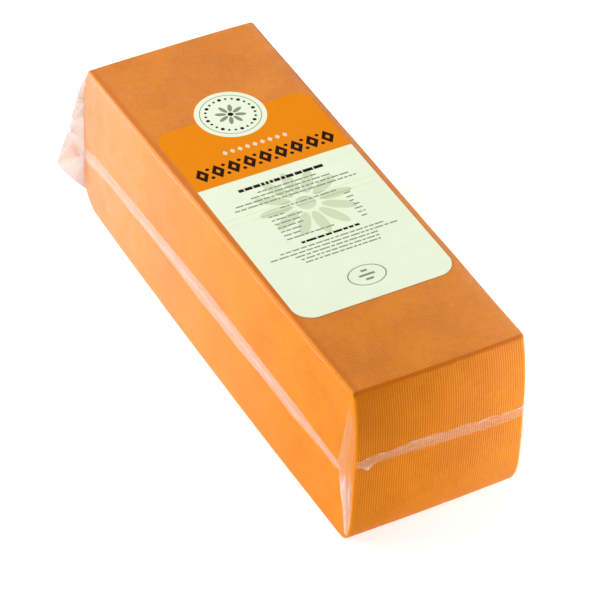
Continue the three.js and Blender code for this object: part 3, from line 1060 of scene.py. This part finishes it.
def arc(centre_x, centre_y, radius, start, end, steps=ARC_STEPS):
    """Points on an arc, with its angles in quarter turns."""
    quarter = math.pi / 2
    turns = [start + (end - start) * k / steps for k in range(steps + 1)]
    return [
        (centre_x + radius * math.cos(t * quarter), centre_y + radius * math.sin(t * quarter)) for t in turns
    ]


def label_outline(sizes):
    """The die-cut outline: a rectangle with rounded corners, joined with the round seal."""
    rear, front, side = sizes.rear, sizes.front, sizes.half_width
    small, large = sizes.rear_radius, sizes.front_radius
    opening = math.acos((rear - sizes.seal_place) / sizes.seal_radius) / (math.pi / 2)
    outline = arc(rear + small, -side + small, small, 2, 3)
    outline += arc(front - large, -side + large, large, 3, 4)
    outline += arc(front - large, side - large, large, 0, 1)
    outline += arc(rear + small, side - small, small, 1, 2)
    outline += arc(sizes.seal_place, 0, sizes.seal_radius, opening, 4 - opening, 2 * ARC_STEPS)
    return outline


def slab(bm, outline, bottom, top, material):
    """A flat closed slab from its outline."""
    base = bm.faces.new([bm.verts.new((x, y, bottom)) for x, y in outline])
    raised = bmesh.ops.extrude_face_region(bm, geom=[base])["geom"]
    points = [part for part in raised if isinstance(part, bmesh.types.BMVert)]
    bmesh.ops.translate(bm, verts=points, vec=(0, 0, top - bottom))
    faces = {face for point in points for face in point.link_faces} | {base}
    for face in faces:
        face.material_index = material


class Printer:
    """Lays shapes of ink on the label. Lengths run along the loaf and widths across it."""

    def __init__(self, bm, top):
        self.bm = bm
        self.top = top

    def paint(self, verts, material):
        """Gives new faces their ink."""
        for face in {face for vert in verts for face in vert.link_faces}:
            face.material_index = material

    def bar(self, x, y, length, width, material, level=0.0):
        """A bar of ink round a middle point."""
        middle = self.top + level + (INK_THICK - INK_SINK) / 2
        size = Matrix.Diagonal((length, width, INK_THICK + INK_SINK, 1))
        made = bmesh.ops.create_cube(self.bm, size=1, matrix=Matrix.Translation((x, y, middle)) @ size)
        self.paint(made["verts"], material)

    def spot(self, x, y, length, width, material, sides=28, turn=0.0, level=0.0):
        """A round spot, or a lozenge when it has four sides. It is turned by an angle about its middle."""
        middle = self.top + level + (INK_THICK - INK_SINK) / 2
        place = Matrix.Translation((x, y, middle)) @ Matrix.Rotation(turn, 4, "Z")
        made = bmesh.ops.create_cone(
            self.bm,
            cap_ends=True,
            segments=sides,
            radius1=0.5,
            radius2=0.5,
            depth=INK_THICK + INK_SINK,
            matrix=place @ Matrix.Diagonal((length, width, 1, 1)),
        )
        self.paint(made["verts"], material)

    def ring(self, x, y, length, width, line, material, level=0.0, steps=64):
        """A thin ring or oval."""
        low, high = self.top + level - INK_SINK, self.top + level + INK_THICK
        inner = 1 - 2 * line / (length + width) * 2
        corners = [(0.5 * inner, low), (0.5, low), (0.5, high), (0.5 * inner, high)]
        verts = [self.bm.verts.new((r, 0, z)) for r, z in corners]
        edges = [self.bm.edges.new((verts[k], verts[(k + 1) % 4])) for k in range(4)]
        before = set(self.bm.verts) - set(verts)
        bmesh.ops.spin(
            self.bm,
            geom=verts + edges,
            cent=(0, 0, 0),
            axis=(0, 0, 1),
            angle=2 * math.pi,
            steps=steps,
            use_merge=True,
        )
        made = [vert for vert in self.bm.verts if vert not in before]
        bmesh.ops.transform(
            self.bm,
            verts=made,
            matrix=Matrix.Translation((x, y, 0)) @ Matrix.Diagonal((length, width, 1, 1)),
        )
        self.paint(made, material)

    def words(self, draw, x, start, end, height, material):
        """A line of small bars with gaps like words between them."""
        y = start
        while y < end - MM:
            width = min(draw.uniform(1.6, 6.0) * MM, end - y)
            self.bar(x, y + width / 2, height, width, material)
            y += width + draw.uniform(0.6, 0.9) * MM


# Ink that lies on other ink starts this much higher, and ink under the lines this much lower
UPPER_INK = 0.02 * MM
LOWER_INK = -0.015 * MM


def round_flower(count, radius, start=0.0):
    """The places and turns of shapes on a circle, as (length, width, turn)."""
    turns = [2 * math.pi * (k + start) / count for k in range(count)]
    return [(radius * math.cos(turn), radius * math.sin(turn), turn) for turn in turns]


def print_seal(printer, sizes):
    """The round seal: a pale disc, a ring, a circle of dots and a flower with eight petals."""
    middle = sizes.seal_place
    across = 2 * sizes.seal_radius - 0.4 * MM
    printer.spot(middle, 0, across, across, FIELD, 96)
    printer.ring(middle, 0, 34 * MM, 34 * MM, 0.45 * MM, GREY, UPPER_INK, 96)
    for k, (x, y, _) in enumerate(round_flower(24, 13.6 * MM)):
        size = (1.5 if k % 3 else 2.2) * MM
        printer.spot(middle + x, y, size, size, DARK, 16, 0, UPPER_INK)
    for x, y, turn in round_flower(8, 5.4 * MM, 0.5):
        printer.spot(middle + x, y, 6.4 * MM, 2.5 * MM, GREY, 20, turn, UPPER_INK)
    printer.spot(middle, 0, 3.2 * MM, 3.2 * MM, DARK, 24, 0, UPPER_INK)


PALE_ROW = -48.5 * MM
PALE_PITCH = 4.5 * MM
FRIEZE_ROW = -36.6 * MM
FRIEZE_PITCH = 9.4 * MM
FRIEZE_DOT_OFFSET = 3.7 * MM
LOZENGES = 9


def print_band(printer):
    """The orange band: a row of small pale lozenges, and a bold dark frieze of lozenges and dots."""
    for k in range(LOZENGES):
        printer.spot(PALE_ROW, (k - (LOZENGES - 1) / 2) * PALE_PITCH, 3.9 * MM, 2.9 * MM, PALE, 4)
    for k in range(LOZENGES):
        y = (k - (LOZENGES - 1) / 2) * FRIEZE_PITCH
        printer.spot(FRIEZE_ROW, y, 11.5 * MM, 7.6 * MM, DARK, 4)
        printer.spot(FRIEZE_ROW, y, 4.0 * MM, 2.6 * MM, BAND, 4, 0, UPPER_INK)
        if k < LOZENGES - 1:
            for side in (-1, 1):
                x = FRIEZE_ROW + side * FRIEZE_DOT_OFFSET
                printer.spot(x, y + FRIEZE_PITCH / 2, 2.2 * MM, 2.2 * MM, DARK, 16)


# Rows of small bars: the first row's place along the label, the step to the next, and half the width of each
PARAGRAPH_ROW, PARAGRAPH_STEP = -11.5 * MM, 3.1 * MM
PARAGRAPH_REACHES = (18, 23.5, 34, 36)
TABLE_ROW, TABLE_STEP, TABLE_ROWS = 9.4 * MM, 3.35 * MM, 7
FOOTER_ROW, FOOTER_STEP = 38.6 * MM, 2.75 * MM
FOOTER_REACHES = (31, 38, 25, 23, 22)
STAMP_ROW, STAMP_STEP = 68.4 * MM, 3.4 * MM
STAMP_WIDTHS = (3.6, 9.0, 4.4)
STAMP_MIDDLE = (72 * MM, 1.4 * MM)
FLOWER_MIDDLE = (7 * MM, 1 * MM)
SMALL_LETTERS = 0.9 * MM


def print_field(printer, draw):
    """The pale field: a faint flower, lines of small bars, a small table, and an oval stamp."""
    flower_x, flower_y = FLOWER_MIDDLE
    for x, y, turn in round_flower(12, 17.5 * MM):
        printer.spot(flower_x + x, flower_y + y, 19 * MM, 6.5 * MM, FAINT, 28, turn, LOWER_INK)
    printer.spot(flower_x, flower_y, 11 * MM, 11 * MM, FAINT, 40, 0, LOWER_INK)
    for x in (2.7 * MM, 7.6 * MM):
        printer.bar(x, -0.3 * MM, 0.2 * MM, 90 * MM, FAINT, LOWER_INK)

    printer.words(draw, -16.5 * MM, -26.5 * MM, 25 * MM, 2.3 * MM, DARK)
    for row, reach in enumerate(PARAGRAPH_REACHES):
        x = PARAGRAPH_ROW + PARAGRAPH_STEP * row
        printer.words(draw, x, -reach * MM, reach * MM, 0.95 * MM, GREY)
    printer.words(draw, 5 * MM, -13 * MM, 20 * MM, SMALL_LETTERS, GREY)
    for row in range(TABLE_ROWS):
        x = TABLE_ROW + TABLE_STEP * row
        printer.words(draw, x, -22.2 * MM, draw.uniform(-14, 6) * MM, SMALL_LETTERS, GREY)
        printer.words(draw, x, draw.uniform(20.5, 22.5) * MM, 26 * MM, SMALL_LETTERS, GREY)
    printer.words(draw, 34.8 * MM, -16.5 * MM, 17.8 * MM, 1.6 * MM, DARK)
    for row, reach in enumerate(FOOTER_REACHES):
        printer.words(draw, FOOTER_ROW + FOOTER_STEP * row, -reach * MM, reach * MM, SMALL_LETTERS, GREY)

    printer.ring(*STAMP_MIDDLE, 15.6 * MM, 21.6 * MM, 0.6 * MM, GREY)
    for row, width in enumerate(STAMP_WIDTHS):
        printer.bar(STAMP_ROW + STAMP_STEP * row, STAMP_MIDDLE[1], 1.5 * MM, width * MM, GREY)


class CHEESE_OT_label(bpy.types.Operator):
    """Makes the die-cut label and what is printed on it"""

    bl_idname = "cheese.label"
    bl_label = "Label"

    def execute(self, context):
        sizes = settings().label
        finish = settings().finish
        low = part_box("label")[0].z - sizes.sink
        high = low + sizes.thickness
        bm = bmesh.new()
        slab(bm, label_outline(sizes), low, high, FIELD)
        bmesh.ops.bisect_plane(
            bm,
            geom=bm.verts[:] + bm.edges[:] + bm.faces[:],
            plane_co=(sizes.band_end, 0, 0),
            plane_no=(1, 0, 0),
        )
        for face in bm.faces:
            if face.calc_center_median().x < sizes.band_end:
                face.material_index = BAND
        printer = Printer(bm, high)
        print_seal(printer, sizes)
        print_band(printer)
        print_field(printer, random.Random(settings().seed))
        bmesh.ops.recalc_face_normals(bm, faces=bm.faces)
        inks = [
            ("label band", finish.label_band),
            ("label field", finish.label_field),
            ("dark ink", finish.ink_dark),
            ("grey ink", finish.ink_grey),
            ("pale ink", finish.ink_pale),
            ("faint ink", finish.ink_faint),
        ]
        materials = [print_material(name, tuple(ink)) for name, ink in inks]
        finished_piece(bm, "label_sheet", materials, "label", smooth_faces=False)
        return {"FINISHED"}


# The studio


# Where each light stands, the point that it faces, and its width, in metres
KEY_LIGHT = ((-0.8, -1.43, 0.95), (0, 0, 0.05), 1.2)
FILL_LIGHT = ((0.26, 0.26, 0.12), (0.15, 0.03, 0.05), 0.15)
OVERHEAD_LIGHT = ((-0.35, 0.05, 0.75), (-0.05, 0, 0.1), 0.5)


def aimed_light(name, power_in_watts, place, target, size):
    """A large soft square light that faces a point."""
    lamp = bpy.data.lights.new(name, "AREA")
    lamp.shape = "SQUARE"
    lamp.size = size
    lamp.energy = power_in_watts
    light = bpy.data.objects.new(name, lamp)
    bpy.context.scene.collection.objects.link(light)
    light.location = place
    light.rotation_euler = (Vector(target) - Vector(place)).to_track_quat("-Z", "Y").to_euler()
    light.visible_camera = False


def place_camera(studio):
    """The camera, at the angle of the photograph."""
    back = Vector(
        (
            math.cos(studio.elevation) * math.cos(studio.azimuth),
            -math.cos(studio.elevation) * math.sin(studio.azimuth),
            math.sin(studio.elevation),
        )
    )
    level = back.cross(Vector((0, 0, -1))).normalized()
    upright = back.cross(level)
    right = level * math.cos(studio.roll) - upright * math.sin(studio.roll)
    up = back.cross(right)
    data = bpy.data.cameras.new("camera")
    data.lens = studio.focal
    data.clip_end = 20
    camera = bpy.data.objects.new("camera", data)
    bpy.context.scene.collection.objects.link(camera)
    turn = Matrix((right, up, back)).transposed().to_4x4()
    turn.translation = Vector((studio.look_x, studio.look_y, 0)) + back * studio.distance
    camera.matrix_world = turn
    bpy.context.scene.camera = camera


def floor_material():
    """Pale studio paper that is lit from below too, with the faintest mottling."""
    material, tree, shader = new_material("studio paper")
    place = tree.place()
    patches = use_group(tree, patches_group(), Place=place, Broad_Scale=6.0, Small_Scale=60.0)
    pale = tuple(settings().finish.floor)
    shade = tuple(c * 0.99 for c in pale)
    tree.feed(shader.inputs["Base Color"], tree.blend(patches.outputs["Mask"], pale, shade))
    shader.inputs["Emission Color"].default_value = (1, 1, 1, 1)
    shader.inputs["Emission Strength"].default_value = settings().studio.glow
    shader.inputs["Roughness"].default_value = 0.9
    shader.inputs["Specular IOR Level"].default_value = 0.1
    return material


class CHEESE_OT_studio(bpy.types.Operator):
    """Makes the floor, the lights, the sky and the camera"""

    bl_idname = "cheese.studio"
    bl_label = "Studio"

    def execute(self, context):
        studio = settings().studio
        bm = bmesh.new()
        bmesh.ops.create_grid(bm, x_segments=8, y_segments=8, size=studio.floor_size)
        bmesh.ops.translate(bm, verts=bm.verts, vec=(0, 0, -0.2 * MM))
        mesh = bpy.data.meshes.new("floor")
        bm.to_mesh(mesh)
        bm.free()
        mesh.materials.append(floor_material())
        floor = bpy.data.objects.new("floor", mesh)
        bpy.context.scene.collection.objects.link(floor)

        aimed_light("key light", studio.key, *KEY_LIGHT)
        aimed_light("fill light", studio.fill, *FILL_LIGHT)
        aimed_light("overhead light", studio.overhead, *OVERHEAD_LIGHT)

        world = bpy.data.worlds.new("soft sky")
        world.use_nodes = True
        backdrop = world.node_tree.nodes["Background"]
        backdrop.inputs["Color"].default_value = (1, 1, 1, 1)
        backdrop.inputs["Strength"].default_value = studio.sky
        context.scene.world = world
        context.scene.view_settings.view_transform = "Standard"
        place_camera(studio)
        return {"FINISHED"}


STEPS = (
    CHEESE_OT_block,
    CHEESE_OT_film_skin,
    CHEESE_OT_film_weld,
    CHEESE_OT_film_ears,
    CHEESE_OT_film_folds,
    CHEESE_OT_film_pleat,
    CHEESE_OT_label,
    CHEESE_OT_studio,
)


class CHEESE_PT_panel(bpy.types.Panel):
    """Lists the steps that make the wrapped cheese block"""

    bl_idname = "CHEESE_PT_panel"
    bl_label = "Wrapped cheese block"
    bl_space_type = "VIEW_3D"
    bl_region_type = "UI"
    bl_category = "Cheese"

    def draw(self, context):
        for step in STEPS:
            self.layout.operator(step.bl_idname)
        for group in ("loaf", "film", "label", "finish", "studio"):
            box = self.layout.box()
            box.label(text=group.capitalize())
            values = getattr(context.scene.cheese_settings, group)
            for name in values.__annotations__:
                box.prop(values, name)


CLASSES = (
    LoafSizes,
    FilmSizes,
    LabelSizes,
    Finishes,
    StudioSettings,
    CheeseSettings,
    *STEPS,
    CHEESE_PT_panel,
)


def register():
    """Makes the classes and the scene's settings known to Blender."""
    for cls in CLASSES:
        bpy.utils.register_class(cls)
    bpy.types.Scene.cheese_settings = PointerProperty(type=CheeseSettings)


def unregister():
    """Takes them away again."""
    del bpy.types.Scene.cheese_settings
    for cls in reversed(CLASSES):
        bpy.utils.unregister_class(cls)


def main():
    """Makes every piece and the studio."""
    register()
    bpy.ops.cheese.block()
    bpy.ops.cheese.film_skin()
    bpy.ops.cheese.film_weld()
    bpy.ops.cheese.film_ears()
    bpy.ops.cheese.film_folds()
    bpy.ops.cheese.film_pleat()
    bpy.ops.cheese.label()
    bpy.ops.cheese.studio()


if __name__ == "__main__":
    main()
